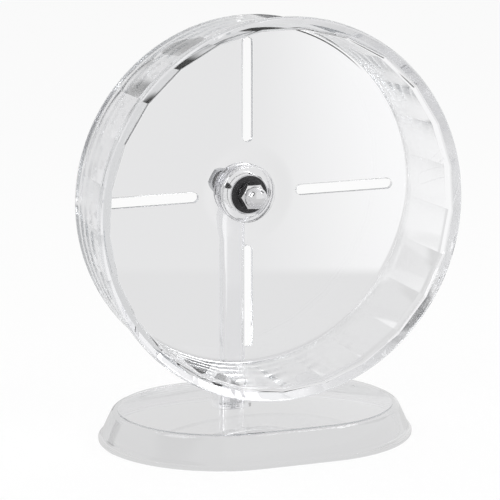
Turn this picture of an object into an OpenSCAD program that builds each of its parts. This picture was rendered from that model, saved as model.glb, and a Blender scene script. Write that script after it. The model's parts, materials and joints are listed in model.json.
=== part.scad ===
// Hamster wheel: a clear running drum on two ball bearings, on one post and a hollow base.
// Millimetres, +Z up, +Y towards the back. The origin is on the floor, in the middle of the base.

/* [Wheel] */
// Outside diameter of the bead round the wheel's open front
wheel_d = 210; // [206:1:214]
// Depth of the wheel from front rim to back plane
wheel_depth = 57; // [45:1:70]
// Diameter of the running surface at the back disc, where it is round
track_back_d = 190.4; // [188:0.1:191]
// Diameter across the facets' corners where the lip's bevel starts
track_front_d = 196; // [194:0.1:197]
// Diameter across the facets' corners at the open front
mouth_d = 199.7; // [198:0.1:202]
// Length of the bevel at the open front
lip_len = 2.6; // [1:0.1:4]
// Outside diameter of the wall where the bead starts
neck_d = 201.6; // [200:0.1:203]
// Flat facets round the running surface
facet_count = 25; // [20:1:36]
// Distance in front of the disc at which the facets start
facet_start = 3; // [2:0.5:8]
// Length of the bead along the wheel's front
bead_len = 8; // [6:0.5:12]
// Rounding of the bead's outer edge
rim_round = 1.6; // [0.8:0.1:2]

/* [Back disc] */
// Diameter of the back disc
disc_d = 198.8; // [198:0.1:200]
// Thickness of the back disc
disc_t = 3; // [2:0.1:4]
// Slots in the disc
slot_count = 4; // [2:1:8]
// Width of a slot
slot_w = 5.8; // [3:0.1:8]
// Distance from the axle to a slot's inner end
slot_inner_r = 29; // [29:0.5:40]
// Distance from the axle to a slot's outer end
slot_outer_r = 87; // [60:0.5:88]

/* [Hub] */
// Outside diameter of the hub boss
boss_d = 31; // [28:0.1:36]
// How far the boss stands in front of the disc
boss_front = 2; // [1:0.1:4]
// Diameter of the thicker pad round the boss, on the back of the disc
pad_d = 57; // [40:1:57]
// How far that pad stands behind the disc
pad_t = 1; // [0.5:0.1:2]
// Depth of the ring grooves round the back of the boss
boss_groove = 0.9; // [0.4:0.1:1.2]

/* [Bearings] */
// Bore of a bearing
bearing_bore = 8; // [8:1:8]
// Outside diameter of a bearing
bearing_d = 22; // [22:1:22]
// Width of a bearing
bearing_w = 7; // [7:1:7]
// Ball diameter
ball_d = 3.97; // [3.9:0.01:4]
// Balls in a bearing
ball_count = 7; // [6:1:7]
// Diameter of the circle that the balls run on
ball_circle_d = 15; // [15:0.1:15]
// Gap between the two bearings
bearing_gap = 1; // [0.8:0.1:1.5]

/* [Axle] */
// Length of the axle bolt under its head
bolt_len = 45; // [43:1:48]
// Across flats of the bolt head and the nuts
hex_af = 13; // [13:1:13]
// Height of the bolt head
bolt_head_h = 5.3; // [5:0.1:5.6]
// Height of the clamp nut in front of the post
clamp_nut_h = 6.5; // [5:0.1:6.8]
// Height of the cap nut
cap_nut_h = 15; // [14:0.1:16]
// Height of the cap nut's hexagon
cap_hex_h = 6.5; // [5.5:0.1:7]
// Diameter of the cap nut's dome
cap_dome_d = 12.5; // [11:0.1:12.5]
// Diameter of the small washers against the bearings' inner rings
small_washer_d = 12; // [11:0.1:12]
// Thickness of the front small washer
front_washer_t = 1.5; // [1:0.1:2]
// Thickness of the rear small washer
rear_washer_t = 1; // [0.8:0.1:2]
// Diameter of the washer under the bolt head
bolt_washer_d = 16; // [14:0.1:20]
// Thickness of the washer under the bolt head
bolt_washer_t = 1.6; // [1.2:0.1:2]

/* [Post] */
// Width of the post
post_w = 13; // [12:0.1:16]
// Depth of the post, front to back
post_t = 10; // [8:0.1:11]
// Rounding of the post's upright edges
post_round = 2; // [1:0.1:3]
// Diameter of the round head that the axle passes through
post_head_d = 16; // [15:0.5:28]

/* [Base] */
// Height of the base
base_h = 17.5; // [16:0.1:22]
// Height of the axle above the floor
axle_z = 134; // [130:1:150]
// Straight length between the base's two round ends
base_straight = 42; // [36:1:60]
// Radius of the round ends at the flat top
base_top_r = 57; // [54:0.5:60]
// Height by which the flat top stands above the shoulder
base_step = 0.8; // [0.4:0.1:1.2]
// Radius of the round ends at the foot flange
base_foot_r = 67.7; // [66:0.1:72]
// Wall of the base
base_wall = 2.5; // [2:0.1:3]
// Distance from the middle of the base to the back plane of the wheel
disc_back_y = 14.7; // [10:0.1:16]
// Wall of the socket that holds the post's foot
socket_wall = 4; // [3:0.1:5]
// Height of the socket's floor above the table
socket_floor_z = 3.5; // [3.3:0.1:4]
// Thickness of the socket's floor
socket_floor_t = 2.5; // [2:0.1:3]

/* [Post screw] */
// Diameter of the screw
screw_d = 4; // [3:0.5:4]
// Length of the screw under its head
screw_len = 16; // [12:1:20]
// Diameter of the screw's head
screw_head_d = 8; // [7:0.1:8]
// Height of the screw's head
screw_head_h = 2.6; // [2:0.1:3]

/* [Hidden] */
$fn = 96;
eps = 0.01;
cut = 1;

// Heights along the axle, measured forwards from the back plane of the wheel
boss_front_a = disc_t + boss_front;
front_bearing_a = boss_front_a - bearing_w;
rear_bearing_a = front_bearing_a - bearing_gap - bearing_w;
cap_seat_a = boss_front_a + front_washer_t;
clamp_front_a = rear_bearing_a - rear_washer_t;
post_front_a = clamp_front_a - clamp_nut_h;
post_back_a = post_front_a - post_t;
bolt_seat_a = post_back_a - bolt_washer_t;
bolt_tip_a = bolt_seat_a + bolt_len;

post_y = disc_back_y - (post_front_a + post_back_a) / 2;
post_foot_z = socket_floor_z + socket_floor_t;

wheel_r = wheel_d / 2;
track_back_r = track_back_d / 2;
track_front_r = track_front_d / 2;
bead_a = wheel_depth - bead_len;
bead_slope = 40;
lip_a = wheel_depth - lip_len;
facet_start_a = disc_t + facet_start;
facet_half = 180 / facet_count;
facet_stock = 5;
fan_steps = 4;

axle_r = bearing_bore / 2;
boss_r = boss_d / 2;
pad_taper = 11;
groove_w = 1.6;
groove_pitch = 3.4;

// Rings of a bearing: the lands either side of the balls, and the shields let into the outer ring
ball_r = ball_d / 2;
race_gap = 0.07;
race_r = ball_r + race_gap;
ball_circle_r = ball_circle_d / 2;
inner_land_r = 6;
outer_land_r = 8.9;
seal_seat_r = 10.5;
seal_lip_gap = 0.35;
seal_t = 0.6;
seal_set_back = 0.15;
cage_inner_r = 7;
cage_outer_r = 8.1;
cage_open_side = 1.2;
cage_rail_side = 2.5;
web_hole_r = 9.75;

// Small details of the fasteners
tip_chamfer = 1;
tip_room = 1.5;
recess_len = 4.4;
recess_w = 1;
recess_depth = 1.4;

// Profile of the base's outside, from the middle of the flat top down to the foot
shoulder_r = 3.4;
shoulder_in = 0.8;
shoulder_a = 25;
wall_bottom = [base_foot_r - 2.3, 5];
flange_h = 2.4;
flange_round = 0.8;
foot_w = 5;

steel = [0.78, 0.79, 0.8];
black = [0.06, 0.06, 0.07];
clear = [0.9, 0.92, 0.94, 0.45];
nylon = [0.85, 0.82, 0.72];

// Points of an arc round [x, y], from angle a0 to a1
function arc(x, y, r, a0, a1, n = 8) =
    [for (i = [0:n]) let (a = a0 + (a1 - a0) * i / n) [x + r * cos(a), y + r * sin(a)]];

// Points round the axle at one height along it, the first of them turned from straight up
function ring_points(r, a, count, turn = 0) =
    [for (i = [0:count - 1]) let (t = turn + 360 * i / count) [r * sin(t), r * cos(t), a]];

// Stands the axle's frame in place: local +Z runs forwards along the axle, local +Y points up
module on_axle(a = 0) {
    translate([0, disc_back_y - a, axle_z]) rotate([90, 0, 0]) children();
}

module ring(outer_r, inner_r, h) {
    difference() {
        cylinder(r = outer_r, h = h);
        translate([0, 0, -cut]) cylinder(r = inner_r, h = h + 2 * cut);
    }
}

module hex_prism(h) {
    cylinder(d = hex_af / cos(30), h = h, $fn = 6);
}

// Hexagon with its corners turned down by a chamfer cone at the outer end
module chamfered_hex(h) {
    corner_r = hex_af / cos(30) / 2;
    intersection() {
        hex_prism(h);
        cylinder(r1 = corner_r + h, r2 = hex_af / 2, h = h + corner_r - hex_af / 2);
    }
}

module rounded_rect(w, d, r) {
    square([w - 2 * r, d], center = true);
    square([w, d - 2 * r], center = true);
    for (x = [-1, 1], y = [-1, 1]) translate([x * (w / 2 - r), y * (d / 2 - r)]) circle(r = r);
}

// Drum wall: a ring with a bead along its open front
module running_track() {
    color(clear) on_axle() difference() {
        rotate_extrude() polygon(concat(
            [[track_back_r - facet_stock, disc_t], [disc_d / 2, disc_t], [neck_d / 2, bead_a]],
            arc(wheel_r - rim_round, wheel_depth - rim_round, rim_round, -bead_slope, 90),
            [[track_back_r - facet_stock, wheel_depth]]));
        drum_hollow();
    }
}

// Inside of the drum: round at the disc, then flat facets that widen until they meet at the lip,
// with a narrow fan of faces at each corner, and a bevel that opens out to the front
module drum_hollow() {
    n = facet_count;
    m = n * fan_steps;
    flare = (mouth_d / 2 - track_front_r) / lip_len;
    points = concat(
        ring_points(track_back_r, disc_t - cut, m),
        ring_points(track_back_r, facet_start_a, m),
        ring_points(track_front_r, lip_a, n, facet_half),
        ring_points(mouth_d / 2 + flare * cut, wheel_depth + cut, n, facet_half));
    tube = [for (j = [0:m - 1]) [j, (j + 1) % m, m + (j + 1) % m, m + j]];
    fans = [for (i = [0:n - 1], k = [0:fan_steps - 1]) let (j = i * fan_steps + k)
        [m + j, m + (j + 1) % m, 2 * m + i]];
    facets = [for (i = [0:n - 1]) [m + i * fan_steps, 2 * m + i, 2 * m + (i + n - 1) % n]];
    bevel = [for (i = [0:n - 1]) let (next = (i + 1) % n)
        [2 * m + i, 2 * m + next, 2 * m + n + next, 2 * m + n + i]];
    bottom = [[for (j = [0:m - 1]) m - 1 - j]];
    top = [[for (i = [0:n - 1]) 2 * m + n + i]];
    polyhedron(points, concat(tube, fans, facets, bevel, bottom, top));
}

module slot() {
    inner = slot_inner_r + slot_w / 2;
    outer = slot_outer_r - slot_w / 2;
    translate([0, 0, -pad_t - cut]) linear_extrude(disc_t + pad_t + 2 * cut) {
        translate([inner, -slot_w / 2]) square([outer - inner, slot_w]);
        for (x = [inner, outer]) translate([x, 0]) circle(d = slot_w);
    }
}

// Disc with its slots, and the boss whose two pockets hold the bearings either side of a web
module back_disc() {
    boss_len = boss_front_a - rear_bearing_a;
    color(clear) on_axle() difference() {
        union() {
            cylinder(d = disc_d, h = disc_t);
            translate([0, 0, -pad_t]) cylinder(d1 = pad_d - 2 * pad_taper, d2 = pad_d, h = pad_t);
            translate([0, 0, rear_bearing_a]) cylinder(r = boss_r, h = boss_len);
        }
        for (i = [0:slot_count - 1]) rotate(360 * i / slot_count) slot();
        for (i = [1:2]) translate([0, 0, rear_bearing_a + i * groove_pitch - groove_w])
            ring(boss_r + cut, boss_r - boss_groove, groove_w);
        translate([0, 0, front_bearing_a]) cylinder(d = bearing_d, h = bearing_w + cut);
        translate([0, 0, rear_bearing_a - cut]) cylinder(d = bearing_d, h = bearing_w + cut);
        translate([0, 0, rear_bearing_a]) cylinder(r = web_hole_r, h = boss_len);
    }
}

// Outline of the base's solid, half of it, from the middle out
function base_profile() = concat(
    [[0, 0], [base_foot_r - flange_round / 2, 0]],
    arc(base_foot_r - flange_round, flange_h - flange_round, flange_round, 0, 90, 5),
    [wall_bottom],
    arc(base_top_r + shoulder_in, base_h - base_step - shoulder_r, shoulder_r, shoulder_a, 90),
    [[base_top_r, base_h - base_step], [base_top_r, base_h], [0, base_h]]);

// Outline of the hollow under it
function hollow_profile() = [
    [0, -cut], [base_foot_r - foot_w, -cut], [base_foot_r - foot_w, 0],
    [wall_bottom[0] - base_wall, wall_bottom[1]],
    [base_top_r + shoulder_in + shoulder_r - base_wall, base_h - base_step - shoulder_r],
    [base_top_r - base_wall / 2, base_h - base_wall],
    [0, base_h - base_wall]];

// Sweeps a half outline round the two ends and along the straight sides
module stadium(profile) {
    for (x = [-1, 1]) translate([x * base_straight / 2, 0]) rotate_extrude() polygon(profile);
    mirrored = [for (i = [len(profile) - 1:-1:0]) [-profile[i][0], profile[i][1]]];
    translate([-base_straight / 2, 0]) rotate([90, 0, 90])
        linear_extrude(base_straight) polygon(concat(profile, mirrored));
}

module base_shell() {
    color(clear) difference() {
        union() {
            difference() {
                stadium(base_profile());
                stadium(hollow_profile());
            }
            translate([0, post_y, socket_floor_z]) linear_extrude(base_h - socket_floor_z - eps)
                rounded_rect(post_w + 2 * socket_wall, post_t + 2 * socket_wall, post_round + socket_wall);
        }
        translate([0, post_y, post_foot_z]) linear_extrude(base_h) rounded_rect(post_w, post_t, post_round);
        translate([0, post_y, 0]) cylinder(d = screw_d, h = base_h);
    }
}

// Upright with a round head, its foot in the base's socket
module post() {
    head_r = post_head_d / 2;
    color(clear) difference() {
        union() {
            translate([0, post_y, post_foot_z]) linear_extrude(axle_z - post_foot_z)
                rounded_rect(post_w, post_t, post_round);
            on_axle(post_back_a) rotate_extrude() polygon(concat(
                [[0, 0]],
                arc(head_r - post_round, post_round, post_round, -90, 0),
                arc(head_r - post_round, post_t - post_round, post_round, 0, 90),
                [[0, post_t]]));
        }
        on_axle(post_back_a - cut) cylinder(r = axle_r, h = post_t + 2 * cut);
        translate([0, post_y, 0]) cylinder(d = screw_d, h = socket_floor_z + screw_len);
    }
}

// Pan-head screw up through the socket's floor
module post_screw() {
    color(steel) translate([0, post_y, socket_floor_z]) {
        cylinder(d = screw_d, h = screw_len);
        translate([0, 0, -screw_head_h]) difference() {
            rotate_extrude() polygon(concat(
                [[0, 0]],
                arc(screw_head_d / 2 - screw_head_h / 2, screw_head_h / 2, screw_head_h / 2, -90, 0),
                [[screw_head_d / 2, screw_head_h], [0, screw_head_h]]));
            for (turn = [0, 90]) rotate(turn) translate([-recess_len / 2, -recess_w / 2, -cut])
                cube([recess_len, recess_w, cut + recess_depth]);
        }
    }
}

module axle_bolt() {
    color(steel) {
        on_axle(bolt_seat_a) cylinder(r = axle_r, h = bolt_len - tip_chamfer);
        on_axle(bolt_tip_a - tip_chamfer) cylinder(r1 = axle_r, r2 = axle_r - tip_chamfer, h = tip_chamfer);
        on_axle(bolt_seat_a) rotate([180, 0, 0]) chamfered_hex(bolt_head_h);
    }
}

module bolt_washer() {
    color(steel) on_axle(bolt_seat_a) ring(bolt_washer_d / 2, axle_r, bolt_washer_t);
}

module clamp_nut() {
    color(steel) on_axle(post_front_a) difference() {
        chamfered_hex(clamp_nut_h);
        translate([0, 0, -cut]) cylinder(r = axle_r, h = clamp_nut_h + 2 * cut);
    }
}

module rear_washer() {
    color(steel) on_axle(clamp_front_a) ring(small_washer_d / 2, axle_r, rear_washer_t);
}

module inner_spacer() {
    color(steel) on_axle(front_bearing_a - bearing_gap) ring(small_washer_d / 2, axle_r, bearing_gap);
}

module front_washer() {
    color(steel) on_axle(boss_front_a) ring(small_washer_d / 2, axle_r, front_washer_t);
}

// Acorn nut: hexagon, short neck and dome, with a blind hole for the end of the bolt
module cap_nut() {
    dome_r = cap_dome_d / 2;
    neck = cap_nut_h - dome_r;
    color(steel) on_axle(cap_seat_a) difference() {
        union() {
            chamfered_hex(cap_hex_h);
            rotate_extrude() polygon(concat([[0, 0], [dome_r, 0]], arc(0, neck, dome_r, 0, 90, 24)));
        }
        translate([0, 0, -cut]) cylinder(r = axle_r, h = bolt_tip_a - cap_seat_a + tip_room + cut);
    }
}

// Outer ring with its ball groove and a seat for a seal at each face
module outer_ring() {
    seat = seal_t + seal_set_back;
    difference() {
        cylinder(d = bearing_d, h = bearing_w);
        translate([0, 0, -cut]) cylinder(r = outer_land_r, h = bearing_w + 2 * cut);
        for (z = [-cut, bearing_w - seat]) translate([0, 0, z]) cylinder(r = seal_seat_r, h = seat + cut);
        race();
    }
}

module inner_ring() {
    difference() {
        ring(inner_land_r, axle_r, bearing_w);
        race();
    }
}

module race() {
    translate([0, 0, bearing_w / 2]) rotate_extrude() translate([ball_circle_r, 0]) circle(r = race_r);
}

module balls() {
    for (i = [0:ball_count - 1]) rotate(360 * i / ball_count)
        translate([ball_circle_r, 0, bearing_w / 2]) sphere(r = ball_r);
}

// Moulded crown cage: a rail past the balls on one side, and a pocket round each ball
module cage() {
    difference() {
        translate([0, 0, bearing_w / 2 - cage_open_side])
            ring(cage_outer_r, cage_inner_r, cage_open_side + cage_rail_side);
        balls();
    }
}

module seals() {
    for (z = [seal_set_back, bearing_w - seal_set_back - seal_t]) translate([0, 0, z])
        ring(seal_seat_r, inner_land_r + seal_lip_gap, seal_t);
}

module front_outer_ring() { color(steel) on_axle(front_bearing_a) outer_ring(); }
module front_inner_ring() { color(steel) on_axle(front_bearing_a) inner_ring(); }
module front_balls() { color(steel) on_axle(front_bearing_a) balls(); }
module front_cage() { color(nylon) on_axle(front_bearing_a) cage(); }
module front_seals() { color(black) on_axle(front_bearing_a) seals(); }
module rear_outer_ring() { color(steel) on_axle(rear_bearing_a) outer_ring(); }
module rear_inner_ring() { color(steel) on_axle(rear_bearing_a) inner_ring(); }
module rear_balls() { color(steel) on_axle(rear_bearing_a) balls(); }
module rear_cage() { color(nylon) on_axle(rear_bearing_a) cage(); }
module rear_seals() { color(black) on_axle(rear_bearing_a) seals(); }

running_track();
back_disc();
base_shell();
post();
post_screw();
axle_bolt();
bolt_washer();
clamp_nut();
rear_washer();
inner_spacer();
front_washer();
cap_nut();
front_outer_ring();
front_inner_ring();
front_balls();
front_cage();
front_seals();
rear_outer_ring();
rear_inner_ring();
rear_balls();
rear_cage();
rear_seals();
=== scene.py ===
import json
import math

import bmesh
import bpy
from bpy.props import FloatProperty, FloatVectorProperty, IntProperty, PointerProperty
from mathutils import Matrix, Vector


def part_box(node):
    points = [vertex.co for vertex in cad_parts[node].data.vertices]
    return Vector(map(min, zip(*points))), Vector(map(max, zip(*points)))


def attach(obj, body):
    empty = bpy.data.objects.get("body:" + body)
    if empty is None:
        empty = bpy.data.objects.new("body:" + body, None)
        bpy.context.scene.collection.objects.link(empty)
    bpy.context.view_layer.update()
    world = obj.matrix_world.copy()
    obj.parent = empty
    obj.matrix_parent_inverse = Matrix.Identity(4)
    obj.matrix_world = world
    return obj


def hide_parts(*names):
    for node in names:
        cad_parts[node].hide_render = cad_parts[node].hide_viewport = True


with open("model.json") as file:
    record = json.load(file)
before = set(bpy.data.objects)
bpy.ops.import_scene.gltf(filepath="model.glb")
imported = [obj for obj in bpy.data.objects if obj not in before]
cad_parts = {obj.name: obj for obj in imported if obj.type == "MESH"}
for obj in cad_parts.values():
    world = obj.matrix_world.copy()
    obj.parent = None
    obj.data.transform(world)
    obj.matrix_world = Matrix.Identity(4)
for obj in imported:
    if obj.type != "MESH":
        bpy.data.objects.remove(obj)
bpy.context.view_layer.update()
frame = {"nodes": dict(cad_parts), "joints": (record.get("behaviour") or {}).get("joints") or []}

bl_info = {
    "name": "Clear Hamster Wheel",
    "version": (1, 0, 0),
    "blender": (4, 5, 0),
    "location": "View3D > Sidebar > Wheel",
    "description": "Dresses the clear hamster wheel: mouldings, axle, bearings and a studio",
    "category": "Add Mesh",
}

# A millimetre in metres, and a full turn
MM = 0.001
FULL_TURN = 2 * math.pi

# Places that the frame gives: the axle where it crosses the wheel's back plane, and the post's foot
AXLE = Vector(next(j["pos_m"] for j in frame["joints"] if j["name"] == "wheel_spin"))
DISC_LOW, DISC_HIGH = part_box("back_disc")
POST_LOW, POST_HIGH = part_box("post")
BASE_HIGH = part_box("base_shell")[1]
SCREW_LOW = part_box("post_screw")[0]
POST_Y = (POST_LOW.y + POST_HIGH.y) / 2


def along(y):
    """Height along the axle, forwards from the wheel's back plane, of a place at y."""
    return AXLE.y - y


def size(name, text, default):
    """A length that a user would change."""
    return FloatProperty(name=name, description=text, default=default, subtype="DISTANCE",
                         unit="LENGTH", min=0)


def tint(name, text, default):
    """A colour that a user would change."""
    return FloatVectorProperty(name=name, description=text, default=default, subtype="COLOR",
                               size=4, min=0, max=1)


def tone(name, text, default):
    """A grey that a user would change, 1 for white."""
    return FloatProperty(name=name, description=text, default=default, min=0, max=1)


class WheelSizes(bpy.types.PropertyGroup):
    """Sizes of the clear mouldings and of the hardware."""

    front_r: size("Front radius", "Outside radius of the drum at its open front", 105 * MM)
    track_back: size("Track radius, back", "Radius of the running surface at the disc, where it is round",
                     95.2 * MM)
    track_front: size("Track radius, front", "From the axle to where two facets meet, at the lip", 98.0 * MM)
    mouth_r: size("Mouth radius", "The same at the open front, past the lip's bevel", 99.85 * MM)
    facet_start: size("Facet start", "How far in front of the disc the facets start", 3 * MM)
    depth: size("Depth", "Depth of the drum", 57 * MM)
    bead_len: size("Bead length", "Length of the bead along the front", 8 * MM)
    facets: IntProperty(name="Facets", description="Flat facets of the running surface",
                        default=25, min=8)
    rim_round: size("Rim rounding", "Rounding of the front rim's outer edge", 1.6 * MM)
    lip_len: size("Lip length", "Length of the bevel at the front rim's inner edge", 2.6 * MM)
    disc_t: size("Disc thickness", "Thickness of the back disc", 3 * MM)
    back_r: size("Back radius", "Outside radius of the drum at its back", 99.4 * MM)
    neck_r: size("Neck radius", "Outside radius of the drum behind its bead", 100.8 * MM)
    slot_w: size("Slot width", "Width of a slot in the disc", 5.8 * MM)
    slot_inner: size("Slot start", "From the axle to a slot's inner end", 29 * MM)
    slot_outer: size("Slot end", "From the axle to a slot's outer end", 87 * MM)
    boss_r: size("Boss radius", "Outside radius of the hub boss", 15.5 * MM)
    pad_r: size("Pad radius", "Radius of the thicker pad behind the disc", 28.5 * MM)
    bearing_r: size("Bearing radius", "Outside radius of a bearing", 11 * MM)
    bearing_w: size("Bearing width", "Width of a bearing", 7 * MM)
    axle_r: size("Axle radius", "Radius of the axle bolt", 4 * MM)
    hex_af: size("Across flats", "Across flats of the bolt head and nuts", 13 * MM)
    post_round: size("Post rounding", "Rounding of the post's edges", 2 * MM)
    base_straight: size("Base straight", "Straight length between the base's round ends", 42 * MM)
    base_top_r: size("Base top radius", "Radius of the base's flat top at its ends", 57 * MM)
    base_wall: size("Base wall", "Wall of the base", 2.5 * MM)
    air_gap: size("Air gap", "Air left between two clear pieces that touch", 0.06 * MM)


class WheelFinish(bpy.types.PropertyGroup):
    """Colours of the finishes."""

    clear: tint("Clear plastic", "Tint of the clear mouldings", (0.985, 0.985, 0.99, 1))
    clear_dim: tint("Clear plastic, thicker flow", "Tint where the moulding is a shade greyer",
                    (0.975, 0.975, 0.985, 1))
    clear_deep: tint("Clear plastic, edge on", "What is left of light that runs along a wall",
                     (0.89, 0.895, 0.9, 1))
    zinc: tint("Zinc", "Bright zinc plate", (0.62, 0.63, 0.65, 1))
    polished: tint("Polished steel", "The cap nut", (0.84, 0.84, 0.85, 1))
    ground: tint("Ground steel", "Rings and balls", (0.7, 0.7, 0.72, 1))
    rubber: tint("Seal rubber", "The bearings' seals", (0.018, 0.018, 0.02, 1))
    nylon: tint("Cage nylon", "The balls' cages", (0.78, 0.74, 0.62, 1))


class WheelStudio(bpy.types.PropertyGroup):
    """The camera, the floor and the light."""

    azimuth: FloatProperty(name="Azimuth", description="Camera's turn round the wheel",
                           default=math.radians(-21.33), subtype="ANGLE")
    elevation: FloatProperty(name="Elevation", description="Camera's height angle",
                             default=math.radians(12.08), subtype="ANGLE")
    distance: size("Distance", "From the camera to its target", 1.6573)
    lens: FloatProperty(name="Lens", description="Focal length in millimetres", default=214.93, min=1)
    target: FloatVectorProperty(name="Target", description="What the camera looks at",
                                default=(2.4 * MM, AXLE.y, 101.57 * MM), subtype="TRANSLATION", unit="LENGTH")
    floor_size: size("Floor", "Side of the floor", 12.0)
    table: tone("Table", "Tone of the table, as clear plastic shows it", 0.78)
    # Round the object's middle the table gets a painted shadow, a darker tone that only metal and clear
    # plastic show
    table_painted_shadow: tone("Table, under", "The same in the object's own shade", 0.69)
    painted_shadow_r: size("Shade", "How far round its middle the object shades the table", 0.2)
    table_end: size("Table end", "How far behind the object the table ends", 0.42)
    # Painted light: the backdrop is darker on the left and lighter on the right, as if lit from the right, in
    # what metal and clear plastic show
    backdrop_left: tone("Backdrop, left", "Tone of the backdrop on the left, as clear plastic shows it", 0.81)
    backdrop_right: tone("Backdrop, right", "The same on the right", 1.0)
    backdrop_turn: FloatVectorProperty(
        name="Backdrop turn",
        description="Where the left tone ends and the right one starts, across the view",
        default=(-0.03, 0.14), size=2, unit="LENGTH")
    flag_tone: tone("Flag", "Tone of the black flags that draw the dark lines in the rim", 0.02)
    room_level: tone("Room light", "Level of the even light on everything", 0.75)


# Black flags out of the camera's view: azimuth from the front, height, and the radii where one
# starts and where it is full, in degrees
FLAGS = (
    (154, 1.5, 6, 4.5),
    (163, 1.5, 6, 4.5),
    (172, 1.5, 6, 4.5),
    (207, 9, 9, 6.5),
    (105, 38, 18, 10),
    (-75, 45, 28, 14),
)
# Lamps: name, place, width, height and power, all aimed near the middle of the wheel
LAMPS = (
    ("key", (0.9, -0.7, 1.1), 0.7, 0.7, 8),
    ("fill", (-1.0, -0.3, 0.9), 0.6, 0.9, 5),
)
LAMP_AIM = (0, 0, 0.12)
# Turns that light may take in the clear walls, and walls that a lamp's ray may pass
BOUNCES = 96
CLEAR_PASSES = 24
# Half the width over which the table gives way to the backdrop
TABLE_EDGE = 0.02
# Share of plain white in the floor that the camera sees, so that its shadows stay faint
FLOOR_WHITE = 0.85
FLOOR_GREY = (0.86, 0.86, 0.86, 1)
# The camera's sensor in millimetres, and how far it sees
SENSOR = 36
FAR_CLIP = 100
# Below this, two points are one
MERGE = 1e-7
# How near a place has to be to count as on a line or a ring
NEAR = 0.01 * MM
# Clear plastic: its optics, its roughness and what haze adds, and what it lets through of a lamp
CLEAR_IOR = 1.49
CLEAR_DENSITY = 25
CLEAR_ROUGH = 0.002
CLEAR_HAZE = 0.006
LAMP_PASS = (0.9, 0.9, 0.9, 1)
# What grain does to a finish: the metal's darker tone, the matt finish's paler one, more roughness
METAL_DARK = 0.8
METAL_SPREAD = 0.6
DULL_PALE = 1.35
DULL_LIFT = 0.004
DULL_SPREAD = 0.15
GRAIN_DEPTH = 0.05 * MM
# Radius in a profile that stands for the flats of a hexagon
HEX_MARK = 7 * MM
HEX_STEPS = 144
# Play between the bolt's crests and what is round it
THREAD_PLAY = 0.02 * MM


def sizes():
    return bpy.context.scene.wheel_sizes


def finish():
    return bpy.context.scene.wheel_finish


def studio():
    return bpy.context.scene.wheel_studio


class Wire:
    """An output socket that takes part in arithmetic by adding Math nodes."""

    def __init__(self, tree, socket):
        self.tree = tree
        self.socket = socket

    @classmethod
    def node(cls, tree, kind, settings=None, inputs=None, output=0):
        """Adds a node, sets it up, feeds its sockets, and returns the wire from one output."""
        made = tree.nodes.new(kind)
        for name, value in (settings or {}).items():
            setattr(made, name, value)
        for name, value in (inputs or {}).items():
            if isinstance(value, Wire):
                tree.links.new(value.socket, made.inputs[name])
            else:
                made.inputs[name].default_value = value
        return cls(tree, made.outputs[output]) if made.outputs else None

    def twin(self, output):
        """The wire from another output of the same node."""
        return Wire(self.tree, self.socket.node.outputs[output])

    def math(self, operation, first, second):
        return Wire.node(self.tree, "ShaderNodeMath", {"operation": operation}, {0: first, 1: second})

    def __add__(self, other):
        return self.math("ADD", self, other)

    def __radd__(self, other):
        return self.math("ADD", other, self)

    def __sub__(self, other):
        return self.math("SUBTRACT", self, other)

    def __rsub__(self, other):
        return self.math("SUBTRACT", other, self)

    def __mul__(self, other):
        return self.math("MULTIPLY", self, other)

    def __rmul__(self, other):
        return self.math("MULTIPLY", other, self)

    def __or__(self, other):
        return self.math("MAXIMUM", self, other)


MIX_A, MIX_B, MIX_COLOUR = 6, 7, 2


def blend_colours(tree, share, first, second):
    """A Mix node between two colours."""
    return Wire.node(tree, "ShaderNodeMix", {"data_type": "RGBA"},
                     {0: share, MIX_A: first, MIX_B: second}, output=MIX_COLOUR)


def speckle(tree, scale, detail):
    """Noise on object coordinates, from about 0 to 1."""
    where = Wire.node(tree, "ShaderNodeTexCoord", output="Object")
    return Wire.node(tree, "ShaderNodeTexNoise", inputs={"Vector": where, "Scale": scale, "Detail": detail})


def bump(tree, height, strength, distance):
    return Wire.node(tree, "ShaderNodeBump",
                     inputs={"Height": height, "Strength": strength, "Distance": distance})


def new_material(name):
    """An empty node material and its tree."""
    material = bpy.data.materials.new(name)
    material.use_nodes = True
    material.node_tree.nodes.clear()
    return material, material.node_tree


def show(tree, surface, volume=None):
    shown = {"Surface": surface}
    if volume is not None:
        shown["Volume"] = volume
    Wire.node(tree, "ShaderNodeOutputMaterial", inputs=shown)


def clear_plastic(name):
    """Clear moulding: faint flow marks and a thin haze, letting lamps through to what is inside."""
    material, tree = new_material(name)
    flow = speckle(tree, scale=14, detail=1.0)
    haze = speckle(tree, scale=90, detail=3.0)
    colour = blend_colours(tree, flow, finish().clear, finish().clear_dim)
    body = Wire.node(tree, "ShaderNodeBsdfPrincipled", inputs={
        "Base Color": colour, "Roughness": CLEAR_ROUGH + CLEAR_HAZE * haze, "IOR": CLEAR_IOR,
        "Transmission Weight": 1, "Normal": bump(tree, flow, strength=0.05, distance=0.4 * MM)})
    lamp_ray = Wire.node(tree, "ShaderNodeLightPath", output="Is Shadow Ray")
    open_air = Wire.node(tree, "ShaderNodeBsdfTransparent", inputs={"Color": LAMP_PASS})
    depth = Wire.node(tree, "ShaderNodeVolumeAbsorption",
                      inputs={"Color": finish().clear_deep, "Density": CLEAR_DENSITY})
    show(tree, Wire.node(tree, "ShaderNodeMixShader", inputs={0: lamp_ray, 1: body, 2: open_air}), depth)
    return material


def metal(name, colour, rough, scale, strength=0.05):
    """Bare or plated metal with fine grain in its colour, roughness and surface."""
    material, tree = new_material(name)
    grain = speckle(tree, scale, detail=4.0)
    dark = tuple(METAL_DARK * c for c in colour[:3]) + (1,)
    body = Wire.node(tree, "ShaderNodeBsdfPrincipled", inputs={
        "Base Color": blend_colours(tree, grain, colour, dark), "Metallic": 1,
        "Roughness": rough + METAL_SPREAD * rough * grain,
        "Normal": bump(tree, grain, strength, GRAIN_DEPTH)})
    show(tree, body)
    return material


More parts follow.
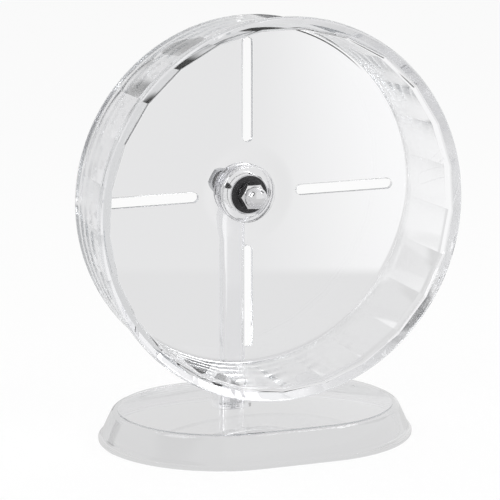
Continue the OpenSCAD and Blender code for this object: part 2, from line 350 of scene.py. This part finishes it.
def dull(name, colour, rough, scale, strength=0.1):
    """Rubber or nylon: a speckled matt surface."""
    material, tree = new_material(name)
    grain = speckle(tree, scale, detail=3.0)
    pale = tuple(min(1, DULL_PALE * c + DULL_LIFT) for c in colour[:3]) + (1,)
    body = Wire.node(tree, "ShaderNodeBsdfPrincipled", inputs={
        "Base Color": blend_colours(tree, grain, colour, pale),
        "Roughness": rough + DULL_SPREAD * grain, "Normal": bump(tree, grain, strength, GRAIN_DEPTH)})
    show(tree, body)
    return material


FINISHES = {
    "clear_plastic": clear_plastic,
    "zinc_steel": lambda name: metal(name, finish().zinc, rough=0.22, scale=900),
    "polished_steel": lambda name: metal(name, finish().polished, rough=0.05, scale=1400, strength=0.01),
    "bearing_steel": lambda name: metal(name, finish().ground, rough=0.15, scale=1200),
    "seal_rubber": lambda name: dull(name, finish().rubber, rough=0.45, scale=1800),
    "cage_nylon": lambda name: dull(name, finish().nylon, rough=0.5, scale=1500),
}


def finish_of(slot):
    """The finish of a slot, made once."""
    name = "finish_" + slot
    return bpy.data.materials.get(name) or FINISHES[slot](name)


def place(bm, name, body, slot, *nodes):
    """Turns a bmesh into a piece that rides on a body, with its finish, in place of some CAD nodes."""
    bmesh.ops.recalc_face_normals(bm, faces=bm.faces)
    mesh = bpy.data.meshes.new(name)
    bm.to_mesh(mesh)
    bm.free()
    piece = bpy.data.objects.new(name, mesh)
    bpy.context.scene.collection.objects.link(piece)
    mesh.materials.append(finish_of(slot))
    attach(piece, body)
    if nodes:
        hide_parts(*nodes)
    return piece


def dress(node, slot):
    """Gives a CAD node that stays its finish."""
    for holder in frame["nodes"][node].material_slots:
        holder.material = finish_of(slot)


SHARP = math.radians(32)


def shade(bm, keep_sharp=None):
    """Smooth faces, with hard edges where the surface turns sharply or where keep_sharp says so."""
    for face in bm.faces:
        face.smooth = True
    for edge in bm.edges:
        hard = len(edge.link_faces) == 2 and edge.calc_face_angle() > SHARP
        edge.smooth = not (hard or (keep_sharp is not None and keep_sharp(edge)))


def arc(x, y, radius, start, end, steps=6):
    """Points of an arc, angles in degrees."""
    turn = [math.radians(start + (end - start) * i / steps) for i in range(steps + 1)]
    return [(x + radius * math.cos(t), y + radius * math.sin(t)) for t in turn]


def ring(radius, count):
    """Points all round a circle."""
    return arc(0, 0, radius, 0, 360 - 360 / count, count - 1)


def lathe(profile, steps, closed=True, bm=None):
    """Spins (radius, height) points round the axle. Height runs forwards from the wheel's back plane."""
    bm = bm or bmesh.new()
    verts = [bm.verts.new((r, AXLE.y - a, AXLE.z)) for r, a in profile]
    pairs = list(zip(verts, verts[1:]))
    if closed and profile[0][0] > 0:
        pairs.append((verts[-1], verts[0]))
    edges = [bm.edges.new(pair) for pair in pairs]
    bmesh.ops.spin(bm, geom=verts + edges, cent=AXLE, axis=(0, 1, 0), angle=FULL_TURN, steps=steps,
                   use_merge=True)
    bmesh.ops.remove_doubles(bm, verts=bm.verts, dist=MERGE)
    return bm


def polar(co):
    """Radius, angle from the top and height along the axle of a point."""
    return math.hypot(co.x, co.z - AXLE.z), math.atan2(co.x, co.z - AXLE.z), along(co.y)


def set_radius(vert, radius):
    """Moves a vertex straight in or out from the axle."""
    old = math.hypot(vert.co.x, vert.co.z - AXLE.z)
    vert.co.x *= radius / old
    vert.co.z = AXLE.z + (vert.co.z - AXLE.z) * radius / old


def loop(bm, points):
    """A closed ring of edges through points."""
    verts = [bm.verts.new(p) for p in points]
    return [bm.edges.new(pair) for pair in zip(verts, verts[1:] + verts[:1])]


def tube(bm, rings):
    """Extrudes a ring of points to the next rings in turn, and gives the edges of the first and the last."""
    first = edges = loop(bm, rings[0])
    for before, after in zip(rings, rings[1:]):
        made = bmesh.ops.extrude_edge_only(bm, edges=edges)["geom"]
        verts = [v for v in made if isinstance(v, bmesh.types.BMVert)]
        edges = [e for e in made if isinstance(e, bmesh.types.BMEdge) and all(v in verts for v in e.verts)]
        for vert in verts:
            vert.co = min(zip(before, after), key=lambda pair: (Vector(pair[0]) - vert.co).length_squared)[1]
    return first, edges


def fill(bm, *rings):
    """A flat face inside the first ring, with the other rings as holes."""
    edges = [e for ring in rings for e in ring]
    bmesh.ops.triangle_fill(bm, use_beauty=True, use_dissolve=False, edges=edges)


def rim_edges(bm, radius, a):
    """Open edges on the circle of one radius at one height along the axle."""
    def on_it(vert):
        r, _, height = polar(vert.co)
        return abs(r - radius) < NEAR and abs(height - a) < NEAR
    return [e for e in bm.edges if e.is_boundary and all(on_it(v) for v in e.verts)]


class WHEEL_OT_drum(bpy.types.Operator):
    """Clear drum: the faceted wall with its bead, bonded to the slotted back disc with the hub boss"""

    bl_idname = "wheel.drum"
    bl_label = "Drum"
    per_facet = 12
    corner = 1.5 * MM
    edge = 0.15 * MM
    back_round = 0.5 * MM
    boss_fillet = 0.8 * MM
    margin = 0.1 * MM
    crown = 0.35 * MM
    lip_steps = 8
    wall_rows = 14
    hub_steps = 192
    pad_steps = 12

    def cone_r(self, a):
        """Radius of the round cone that the facets are cut into."""
        s = sizes()
        share = (a - s.disc_t) / (s.depth - s.lip_len - s.disc_t)
        return s.track_back + (s.track_front - s.track_back) * share

    def flat(self, angle, a):
        """How far a facet is drawn in from the cone: round at the disc, flat at the lip, one straight up."""
        s = sizes()
        half = math.pi / s.facets
        first = s.disc_t + s.facet_start
        grown = min(1, max(0, (a - first) / (s.depth - s.lip_len - first)))
        return 1 + grown * (math.cos(half) / math.cos((angle + half) % (2 * half) - half) - 1)

    def lip(self):
        """The crowned bevel from the facets' ends to the open front."""
        s = sizes()
        start = Vector((s.track_front, s.depth - s.lip_len))
        run = Vector((s.mouth_r - s.track_front, s.lip_len))
        bulge = 4 * self.crown * Vector((-run.y, run.x)).normalized()
        shares = [i / self.lip_steps for i in range(self.lip_steps + 1)]
        return [tuple(start + t * run + t * (1 - t) * bulge) for t in shares]

    def wall(self, bm):
        """The wall from the disc's front face, over the rim, to the edge of the disc's back face."""
        s = sizes()
        neck = s.depth - s.bead_len
        lip_a = s.depth - s.lip_len
        start = s.disc_t + self.corner
        profile = [(self.cone_r(start) - self.corner - self.margin, s.disc_t)]
        profile += arc(self.cone_r(start) - self.corner, start, self.corner, -90, 0, 6)
        rows = [start + (lip_a - start) * i / self.wall_rows for i in range(1, self.wall_rows)]
        profile += [(self.cone_r(a), a) for a in rows]
        profile += self.lip() + [(s.front_r - s.rim_round - self.margin, s.depth)]
        profile += arc(s.front_r - s.rim_round, s.depth - s.rim_round, s.rim_round, 90, -40, 10)
        profile += [(s.neck_r, neck), (s.neck_r, neck - self.margin)]
        profile += [(s.back_r, self.back_round + self.margin)]
        profile += arc(s.back_r - self.back_round, self.back_round, self.back_round, 0, -90, 4)
        profile += [(s.back_r - self.back_round - self.margin, 0)]
        lathe(profile, s.facets * self.per_facet, closed=False, bm=bm)
        for vert in bm.verts:
            radius, angle, a = polar(vert.co)
            if start < a and radius < s.mouth_r + NEAR:
                set_radius(vert, radius * self.flat(angle, a))
        return rim_edges(bm, *profile[0]), rim_edges(bm, *profile[-1])

    def hub(self, bm):
        """The boss with its two bearing pockets, its ring grooves, and the pad behind the disc."""
        s = sizes()
        front = along(DISC_LOW.y)
        back = along(DISC_HIGH.y)
        bore = s.bearing_r + s.air_gap
        web = 9.75 * MM
        front_pocket = front - s.bearing_w
        rear_pocket = back + s.bearing_w
        groove = 0.9 * MM
        groove_w = 1.6 * MM
        pitch = 3.4 * MM
        pad = -1 * MM
        fillet = self.boss_fillet
        edge = 0.5 * MM
        lead_in = 0.3 * MM
        profile = [(s.boss_r + fillet + self.margin, s.disc_t)]
        profile += arc(s.boss_r + fillet, s.disc_t + fillet, fillet, 270, 180, 4)
        profile += arc(s.boss_r - edge, front - edge, edge, 0, 90, 4)
        profile += [(bore + lead_in, front), (bore, front - lead_in)]
        profile += [(bore, front_pocket), (web, front_pocket), (web, rear_pocket), (bore, rear_pocket)]
        profile += [(bore, back + lead_in), (bore + lead_in, back)]
        profile += arc(s.boss_r - edge, back + edge, edge, -90, 0, 4)
        for i in (1, 2):
            top = back + i * pitch
            profile += [(s.boss_r, top - groove_w), (s.boss_r - groove, top - groove_w)]
            profile += [(s.boss_r - groove, top), (s.boss_r, top)]
        profile += arc(s.boss_r + fillet, pad - fillet, fillet, 180, 90, 4)
        start = s.boss_r + fillet
        for i in range(self.pad_steps + 1):
            swell = 1 + math.cos(math.pi * i / self.pad_steps)
            profile.append((start + (s.pad_r - start) * i / self.pad_steps, pad * swell / 2))
        profile.append((s.pad_r + self.margin, 0))
        lathe(profile, self.hub_steps, closed=False, bm=bm)
        return rim_edges(bm, *profile[0]), rim_edges(bm, *profile[-1])

    def slot(self, turn, grow, a):
        """Outline of one slot at one height, grown a little where its edge is rounded."""
        s = sizes()
        half = s.slot_w / 2
        ends = arc(s.slot_outer - half, 0, half + grow, -90, 90, 12)
        ends += arc(s.slot_inner + half, 0, half + grow, 90, 270, 12)
        spin = Matrix.Rotation(turn, 3, "Y")
        return [Vector((AXLE.x, AXLE.y - a, AXLE.z)) + spin @ Vector((u, 0, v)) for u, v in ends]

    def execute(self, context):
        s = sizes()
        bm = bmesh.new()
        wall_front, wall_back = self.wall(bm)
        hub_front, hub_back = self.hub(bm)
        fronts, backs = [wall_front, hub_front], [wall_back, hub_back]
        corner = [(self.edge + self.margin, 0)]
        corner += [(self.edge * (1 - math.sin(t)), self.edge * (1 - math.cos(t)))
                   for t in (0, math.radians(45), math.radians(90))]
        for i in range(4):
            turn = i * FULL_TURN / 4
            rings = [self.slot(turn, grow, s.disc_t - drop) for grow, drop in corner]
            rings += [self.slot(turn, grow, drop) for grow, drop in reversed(corner)]
            first, last = tube(bm, rings)
            fronts.append(first)
            backs.append(last)
        fill(bm, *fronts)
        fill(bm, *backs)
        step = FULL_TURN / s.facets
        lip_a = s.depth - s.lip_len
        corner_near = 1e-3

        def crease(edge):
            """Whether an edge lies where two facets meet or along the lip."""
            places = [polar(v.co) for v in edge.verts]
            inside = all(a > s.disc_t + s.facet_start and r < s.mouth_r + NEAR for r, _, a in places)
            corner = all(abs((t / step) % 1 - 0.5) < corner_near for _, t, _ in places)
            lip = all(abs(a - lip_a) < NEAR or abs(a - s.depth) < NEAR for _, _, a in places)
            return inside and (corner or lip)

        shade(bm, crease)
        place(bm, "clear_drum", "wheel", "clear_plastic", "running_track", "back_disc")
        return {"FINISHED"}


def rounded_rect(width, depth, radius, z):
    """Corner-rounded rectangle round the post's middle, at one height."""
    points = []
    for quarter, (x, y) in enumerate(((1, 1), (-1, 1), (-1, -1), (1, -1))):
        centre = x * (width / 2 - radius), y * (depth / 2 - radius)
        points += arc(*centre, radius, 90 * quarter, 90 * quarter + 90)
    return [(x, POST_Y + y, z) for x, y in points]


class WHEEL_OT_base_shell(bpy.types.Operator):
    """Hollow base with its foot flange and the socket for the post"""

    bl_idname = "wheel.base_shell"
    bl_label = "Base"
    end_steps = 72
    margin = 0.1 * MM

    def sweep(self, profile):
        """Carries (radius, height) points round the base: half a turn at each end and two straights."""
        half = sizes().base_straight / 2
        bm = bmesh.new()
        verts = [bm.verts.new((half, -r, z)) for r, z in profile]
        rail = verts + [bm.edges.new(pair) for pair in zip(verts, verts[1:])]
        for side in (1, -1):
            spun = bmesh.ops.spin(bm, geom=rail, cent=(side * half, 0, 0), axis=(0, 0, 1), angle=math.pi,
                                  steps=self.end_steps)
            last = [e for e in spun["geom_last"] if isinstance(e, bmesh.types.BMEdge)]
            made = bmesh.ops.extrude_edge_only(bm, edges=last)["geom"]
            verts = [v for v in made if isinstance(v, bmesh.types.BMVert)]
            bmesh.ops.translate(bm, verts=verts, vec=(-2 * side * half, 0, 0))
            edges = [e for e in made if isinstance(e, bmesh.types.BMEdge)]
            rail = verts + [e for e in edges if all(v in verts for v in e.verts)]
        bmesh.ops.remove_doubles(bm, verts=bm.verts, dist=MERGE)
        return bm

    def execute(self, context):
        s = sizes()
        height = BASE_HIGH.z
        foot_r = BASE_HIGH.y
        shoulder = 3.4 * MM
        step = 0.8 * MM
        foot_x, foot_z = foot_r - 2.3 * MM, 5 * MM
        # Where the wall turns out into the flange, from the wall's foot
        bend = ((-0.35 * MM, 0.8 * MM), (0.1 * MM, -0.3 * MM))
        flange = 2.4 * MM
        bead = 0.8 * MM
        swell_in, swell_up = 0.5 * MM, 0.35 * MM
        ledge = 0.8 * MM
        edge = 0.4 * MM
        foot_w = 5 * MM
        cove = 2.4 * MM
        cove_drop = 1.7 * MM
        top_r = s.base_top_r
        outside = [(top_r - self.margin, height), (top_r, height), (top_r, height - step)]
        outside += reversed(arc(top_r + ledge, height - step - shoulder, shoulder, 25, 90, 10))
        outside += [(foot_x + r, foot_z + z) for r, z in bend]
        outside += [(foot_r - bead - swell_in, flange + swell_up)]
        outside += reversed(arc(foot_r - bead, flange - bead, bead, 0, 90, 5))
        outside += [(foot_r, edge), (foot_r - edge, 0)]
        inside = [(foot_r - foot_w, 0), (foot_x - s.base_wall, foot_z)]
        inside += arc(top_r - ledge, height - s.base_wall - cove_drop, cove, 10, 90, 6)
        lid = inside[-1][1]
        bm = self.sweep(outside + inside)
        rims = [e for e in bm.edges if e.is_boundary]
        top = [e for e in rims if e.verts[0].co.z > (lid + height) / 2]
        under = [e for e in rims if e.verts[0].co.z < (lid + height) / 2]
        gap = 2 * s.air_gap
        depth = POST_HIGH.y - POST_LOW.y
        column = 13 * MM
        wall = 4 * MM
        screw_hole = 2.06 * MM
        screw_head = 2.6 * MM
        socket_floor = SCREW_LOW.z + screw_head
        pocket = tube(bm, [rounded_rect(column + gap, depth + gap, s.post_round, z)
                           for z in (height, POST_LOW.z)])
        socket = tube(bm, [rounded_rect(column + 2 * wall, depth + 2 * wall, s.post_round + wall, z)
                           for z in (lid, socket_floor)])
        hole = tube(bm, [[(x, POST_Y + y, z) for x, y in ring(screw_hole, count=24)]
                         for z in (POST_LOW.z, socket_floor)])
        fill(bm, top, pocket[0])
        fill(bm, under, socket[0])
        fill(bm, pocket[1], hole[0])
        fill(bm, socket[1], hole[1])
        shade(bm)
        place(bm, "clear_base", "stand", "clear_plastic", "base_shell")
        return {"FINISHED"}


class WHEEL_OT_post(bpy.types.Operator):
    """Upright with a round head for the axle"""

    bl_idname = "wheel.post"
    bl_label = "Post"

    def execute(self, context):
        s = sizes()
        half = 6.5 * MM
        head = 8 * MM
        neck = 9 * MM
        across = half + neck
        drop = math.sqrt((head + neck) ** 2 - across ** 2)
        lean = math.degrees(math.atan2(drop, across))
        right = [(half, POST_LOW.z - AXLE.z)] + arc(across, -drop, neck, 180, 180 - lean, 8)
        outline = right + arc(0, 0, head, -lean, 180 + lean, 40)[1:-1]
        outline += [(-x, z) for x, z in reversed(right)]
        bm = bmesh.new()
        front, back = tube(bm, [[(x, y, AXLE.z + z) for x, z in outline] for y in (POST_LOW.y, POST_HIGH.y)])
        bore_r = s.axle_r + s.air_gap
        bores = tube(bm, [[(x, y, AXLE.z + z) for x, z in ring(bore_r, count=48)]
                          for y in (POST_LOW.y, POST_HIGH.y)])
        fill(bm, front, bores[0])
        fill(bm, back, bores[1])
        bmesh.ops.recalc_face_normals(bm, faces=bm.faces)
        bmesh.ops.bevel(bm, geom=front + back, offset=s.post_round, offset_type="OFFSET", affect="EDGES",
                        segments=5, profile=0.5, material=-1, clamp_overlap=True)
        shade(bm)
        place(bm, "clear_post", "stand", "clear_plastic", "post")
        return {"FINISHED"}


def hex_radius(angle, flats):
    """Radius of a hexagon, a corner pointing sideways."""
    off = (angle - math.pi / 2) % (FULL_TURN / 6) - FULL_TURN / 12
    return flats / 2 / math.cos(off)


def hex_lathe(profile, flats, chamfer=math.tan(math.radians(30))):
    """Spins a profile and pushes its rings at the marked radius out to a chamfered hexagon."""
    bm = lathe(profile, HEX_STEPS)
    heights = [a for r, a in profile if r == HEX_MARK]
    for vert in bm.verts:
        radius, angle, a = polar(vert.co)
        if abs(radius - HEX_MARK) < NEAR:
            wide = hex_radius(angle, flats)
            set_radius(vert, wide)
            fall = (wide - flats / 2) * chamfer
            vert.co.y += fall if abs(a - max(heights)) < NEAR else 0
            vert.co.y -= fall if abs(a - min(heights)) < NEAR else 0
    shade(bm)
    return bm


class WHEEL_OT_cap_nut(bpy.types.Operator):
    """Polished acorn nut on the front end of the axle"""

    bl_idname = "wheel.cap_nut"
    bl_label = "Cap nut"

    def execute(self, context):
        s = sizes()
        low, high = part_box("cap_nut")
        seat, tip = along(high.y), along(low.y)
        hex_top = seat + 6.5 * MM
        dome_r = 6.1 * MM
        groove = 0.4 * MM
        flat = s.hex_af / 2
        foot_in, foot_up = 0.2 * MM, 0.15 * MM
        slope = 0.1 * MM
        profile = [(0, seat), (flat - foot_in, seat), (HEX_MARK, seat + foot_up), (HEX_MARK, hex_top)]
        profile += [(flat - slope, hex_top), (dome_r - groove, hex_top + slope)]
        profile += [(dome_r - groove, hex_top + groove), (dome_r, hex_top + 2 * groove)]
        profile += arc(0, tip - dome_r, dome_r, 0, 90, 20)
        place(hex_lathe(profile, s.hex_af), "polished_cap_nut", "stand", "polished_steel", "cap_nut")
        return {"FINISHED"}


class WHEEL_OT_axle(bpy.types.Operator):
    """Axle bolt with rings for its thread, the clamp nut and the washers"""

    bl_idname = "wheel.axle"
    bl_label = "Axle"
    washer_steps = 72
    edge_max = 0.3 * MM
    face_in = 0.2 * MM
    face_up = 0.1 * MM

    def washer(self, node):
        """A flat ring with rounded edges, as wide and thick as its node."""
        low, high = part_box(node)
        radius = (high.x - low.x) / 2
        back, front = along(high.y), along(low.y)
        edge = min(self.edge_max, (front - back) / 4)
        inner = sizes().axle_r + THREAD_PLAY
        profile = [(inner, back)] + arc(radius - edge, back + edge, edge, -90, 0, 3)
        profile += arc(radius - edge, front - edge, edge, 0, 90, 3) + [(inner, front)]
        bm = lathe(profile, self.washer_steps)
        shade(bm)
        place(bm, "zinc_" + node, "stand", "zinc_steel", node)

    def bolt(self):
        """The hex head and a shank with rings at the thread's pitch."""
        s = sizes()
        low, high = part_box("axle_bolt")
        tip, back = along(low.y), along(high.y)
        head_h = 5.3 * MM
        seat = back + head_h
        pitch = 1.25 * MM
        deep = 0.68 * MM
        plain = 1 * MM
        top_in = 0.3 * MM
        tip_len = 0.2 * MM
        rise, fall = 0.45 * pitch, 0.55 * pitch
        flat = s.hex_af / 2
        profile = [(0, back), (flat - top_in, back), (HEX_MARK, back), (HEX_MARK, seat - self.face_up)]
        profile += [(flat - self.face_in, seat)]
        turns = int((tip - seat - 2 * plain) / pitch)
        crest = s.axle_r - THREAD_PLAY
        for i in range(turns):
            a = seat + plain + i * pitch
            profile += [(crest - deep, a), (crest, a + rise), (crest, a + fall)]
        profile += [(crest - deep, tip - tip_len), (crest - deep, tip), (0, tip)]
        place(hex_lathe(profile, s.hex_af), "zinc_axle_bolt", "stand", "zinc_steel", "axle_bolt")

    def clamp_nut(self):
        """A hex nut, chamfered at both faces."""
        s = sizes()
        low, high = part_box("clamp_nut")
        back, front = along(high.y), along(low.y)
        bore = s.axle_r + THREAD_PLAY
        face = s.hex_af / 2 - self.face_in
        profile = [(bore, back), (face, back)]
        profile += [(HEX_MARK, back + self.face_up), (HEX_MARK, front - self.face_up)]
        profile += [(face, front), (bore, front)]
        place(hex_lathe(profile, s.hex_af), "zinc_clamp_nut", "stand", "zinc_steel", "clamp_nut")

    def execute(self, context):
        self.bolt()
        self.clamp_nut()
        for node in ("bolt_washer", "rear_washer", "front_washer"):
            self.washer(node)
        dress("inner_spacer", "zinc_steel")
        return {"FINISHED"}


class WHEEL_OT_bearings(bpy.types.Operator):
    """The two ball bearings: rings, balls, cages and seals"""

    bl_idname = "wheel.bearings"
    bl_label = "Bearings"

    def execute(self, context):
        for end in ("front", "rear"):
            dress(end + "_outer_ring", "bearing_steel")
            dress(end + "_inner_ring", "bearing_steel")
            dress(end + "_balls", "bearing_steel")
            dress(end + "_cage", "cage_nylon")
            dress(end + "_seals", "seal_rubber")
        return {"FINISHED"}


class WHEEL_OT_post_screw(bpy.types.Operator):
    """Pan-head screw under the base"""

    bl_idname = "wheel.post_screw"
    bl_label = "Post screw"

    def execute(self, context):
        dress("post_screw", "zinc_steel")
        return {"FINISHED"}


class WHEEL_OT_studio(bpy.types.Operator):
    """Camera, pale floor, soft light and white surroundings"""

    bl_idname = "wheel.studio"
    bl_label = "Studio"

    def camera(self):
        """A camera, turned and raised round its target."""
        t = studio()
        data = bpy.data.cameras.new("camera")
        data.lens = t.lens
        data.sensor_width = SENSOR
        data.clip_end = FAR_CLIP
        holder = bpy.data.objects.new("camera", data)
        level = math.cos(t.elevation)
        back = Vector((math.sin(t.azimuth) * level, -math.cos(t.azimuth) * level, math.sin(t.elevation)))
        holder.location = Vector(t.target) + back * t.distance
        holder.rotation_euler = (-back).to_track_quat("-Z", "Y").to_euler()
        bpy.context.scene.collection.objects.link(holder)
        bpy.context.scene.camera = holder

    def seen(self, tree):
        """The camera's rays, and the rays that show the studio in metal and clear plastic."""
        camera_ray = Wire.node(tree, "ShaderNodeLightPath", output="Is Camera Ray")
        return camera_ray, camera_ray.twin("Is Glossy Ray") | camera_ray.twin("Is Transmission Ray")

    def ease(self, tree, value, start, end, low, high):
        """Goes smoothly from low to high while a wire goes from start to end."""
        return Wire.node(tree, "ShaderNodeMapRange", {"interpolation_type": "SMOOTHSTEP"},
                         {"Value": value, "From Min": start, "From Max": end, "To Min": low, "To Max": high})

    def split(self, tree, vector):
        """The three parts of a vector."""
        x = Wire.node(tree, "ShaderNodeSeparateXYZ", inputs={0: vector})
        return x, x.twin(1), x.twin(2)

    def square_on(self, x, y):
        """Across and away from the camera, for a place or a direction."""
        turn = studio().azimuth
        return x * math.cos(turn) + y * math.sin(turn), y * math.cos(turn) - x * math.sin(turn)

    def open_share(self, tree, towards):
        """1 where a direction from the wheel is free, less where a flag stands."""
        free = 1
        for azimuth, height, outer, inner in FLAGS:
            turn, rise = math.radians(azimuth), math.radians(height)
            aim = (math.sin(turn) * math.cos(rise), -math.cos(turn) * math.cos(rise), math.sin(rise))
            near = Wire.node(tree, "ShaderNodeVectorMath", {"operation": "DOT_PRODUCT"}, {0: towards, 1: aim},
                             output="Value")
            limits = math.cos(math.radians(outer)), math.cos(math.radians(inner))
            free = self.ease(tree, near, *limits, 1, studio().flag_tone) * free
        return free

    def floor(self):
        """White to the camera. Metal and clear plastic show the table with a painted shadow under the object,
        the backdrop with its painted light, and the flags.
        """
        t = studio()
        material, tree = new_material("pale_floor")
        camera_ray, shown_ray = self.seen(tree)
        where = Wire.node(tree, "ShaderNodeTexCoord", output="Object")
        x, y, _ = self.split(tree, where)
        across, away = self.square_on(x, y)
        # Painted light: the floor's tone rises from left to right across the view
        backdrop = self.ease(tree, across, *t.backdrop_turn, t.backdrop_left, t.backdrop_right)
        behind = self.ease(tree, away, t.table_end - TABLE_EDGE, t.table_end + TABLE_EDGE, 0, 1)
        offset = Wire.node(tree, "ShaderNodeVectorMath", {"operation": "SUBTRACT"}, {0: where, 1: AXLE})
        towards = Wire.node(tree, "ShaderNodeVectorMath", {"operation": "NORMALIZE"}, {0: offset})
        reach = Wire.node(tree, "ShaderNodeVectorMath", {"operation": "LENGTH"}, {0: where}, output="Value")
        # Painted shadow: the table's tone falls towards the middle, under the object
        table = self.ease(tree, reach, t.painted_shadow_r / 2, t.painted_shadow_r, t.table_painted_shadow, t.table)
        shown_tone = (table * (1 - behind) + backdrop * behind) * self.open_share(tree, towards)
        matt = Wire.node(tree, "ShaderNodeBsdfDiffuse", inputs={"Color": FLOOR_GREY})
        strength = camera_ray + (1 - camera_ray) * shown_tone
        lit = Wire.node(tree, "ShaderNodeEmission", inputs={"Color": (1, 1, 1, 1), "Strength": strength})
        share = FLOOR_WHITE * camera_ray + shown_ray
        show(tree, Wire.node(tree, "ShaderNodeMixShader", inputs={0: share, 1: matt, 2: lit}))
        bm = bmesh.new()
        bmesh.ops.create_grid(bm, x_segments=1, y_segments=1, size=t.floor_size / 2)
        mesh = bpy.data.meshes.new("floor")
        bm.to_mesh(mesh)
        bm.free()
        mesh.materials.append(material)
        board = bpy.data.objects.new("floor", mesh)
        bpy.context.scene.collection.objects.link(board)

    def surroundings(self):
        """White to the camera, the backdrop and the flags in metal and clear plastic, else even light."""
        t = studio()
        world = bpy.data.worlds.new("studio")
        world.use_nodes = True
        tree = world.node_tree
        tree.nodes.clear()
        camera_ray, shown_ray = self.seen(tree)
        where = Wire.node(tree, "ShaderNodeTexCoord", output="Generated")
        x, y, _ = self.split(tree, where)
        across, _ = self.square_on(x, y)
        # Painted light: the surroundings' tone rises from left to right across the view
        backdrop = self.ease(tree, across, *t.backdrop_turn, t.backdrop_left, t.backdrop_right)
        shown_tone = backdrop * self.open_share(tree, where)
        unseen = shown_ray * shown_tone + (1 - shown_ray) * t.room_level
        back = Wire.node(tree, "ShaderNodeBackground",
                         inputs={"Color": (1, 1, 1, 1), "Strength": camera_ray + (1 - camera_ray) * unseen})
        Wire.node(tree, "ShaderNodeOutputWorld", inputs={"Surface": back})
        bpy.context.scene.world = world

    def lamp(self, name, place_at, width, height, watts):
        """A soft lamp that metal and clear plastic don't mirror."""
        data = bpy.data.lights.new(name, "AREA")
        data.shape = "RECTANGLE"
        data.size = width
        data.size_y = height
        data.energy = watts
        holder = bpy.data.objects.new(name, data)
        holder.visible_glossy = False
        holder.location = place_at
        holder.rotation_euler = (Vector(LAMP_AIM) - Vector(place_at)).to_track_quat("-Z", "Y").to_euler()
        bpy.context.scene.collection.objects.link(holder)

    def execute(self, context):
        scene = context.scene
        scene.view_settings.view_transform = "Standard"
        scene.cycles.max_bounces = BOUNCES
        scene.cycles.transmission_bounces = BOUNCES
        scene.cycles.glossy_bounces = BOUNCES
        scene.cycles.transparent_max_bounces = CLEAR_PASSES
        self.camera()
        self.floor()
        self.surroundings()
        for lamp in LAMPS:
            self.lamp(*lamp)
        return {"FINISHED"}


class WHEEL_PT_sidebar(bpy.types.Panel):
    """Lists the wheel's pieces and their sizes"""

    bl_idname = "WHEEL_PT_sidebar"
    bl_label = "Hamster Wheel"
    bl_space_type = "VIEW_3D"
    bl_region_type = "UI"
    bl_category = "Wheel"

    def draw(self, context):
        for operator in OPERATORS:
            self.layout.operator(operator.bl_idname)
        for group in (sizes(), finish(), studio()):
            box = self.layout.box()
            for name in group.__annotations__:
                box.prop(group, name)


OPERATORS = (
    WHEEL_OT_studio, WHEEL_OT_drum, WHEEL_OT_base_shell, WHEEL_OT_post,
    WHEEL_OT_cap_nut, WHEEL_OT_axle, WHEEL_OT_bearings, WHEEL_OT_post_screw,
)
GROUPS = {"wheel_sizes": WheelSizes, "wheel_finish": WheelFinish, "wheel_studio": WheelStudio}
CLASSES = (*GROUPS.values(), *OPERATORS, WHEEL_PT_sidebar)


def register():
    for cls in CLASSES:
        bpy.utils.register_class(cls)
    for name, group in GROUPS.items():
        setattr(bpy.types.Scene, name, PointerProperty(type=group))


def unregister():
    for name in GROUPS:
        delattr(bpy.types.Scene, name)
    for cls in reversed(CLASSES):
        bpy.utils.unregister_class(cls)


def main():
    register()
    for operator in OPERATORS:
        group, name = operator.bl_idname.split(".")
        getattr(getattr(bpy.ops, group), name)()


if __name__ == "__main__":
    main()
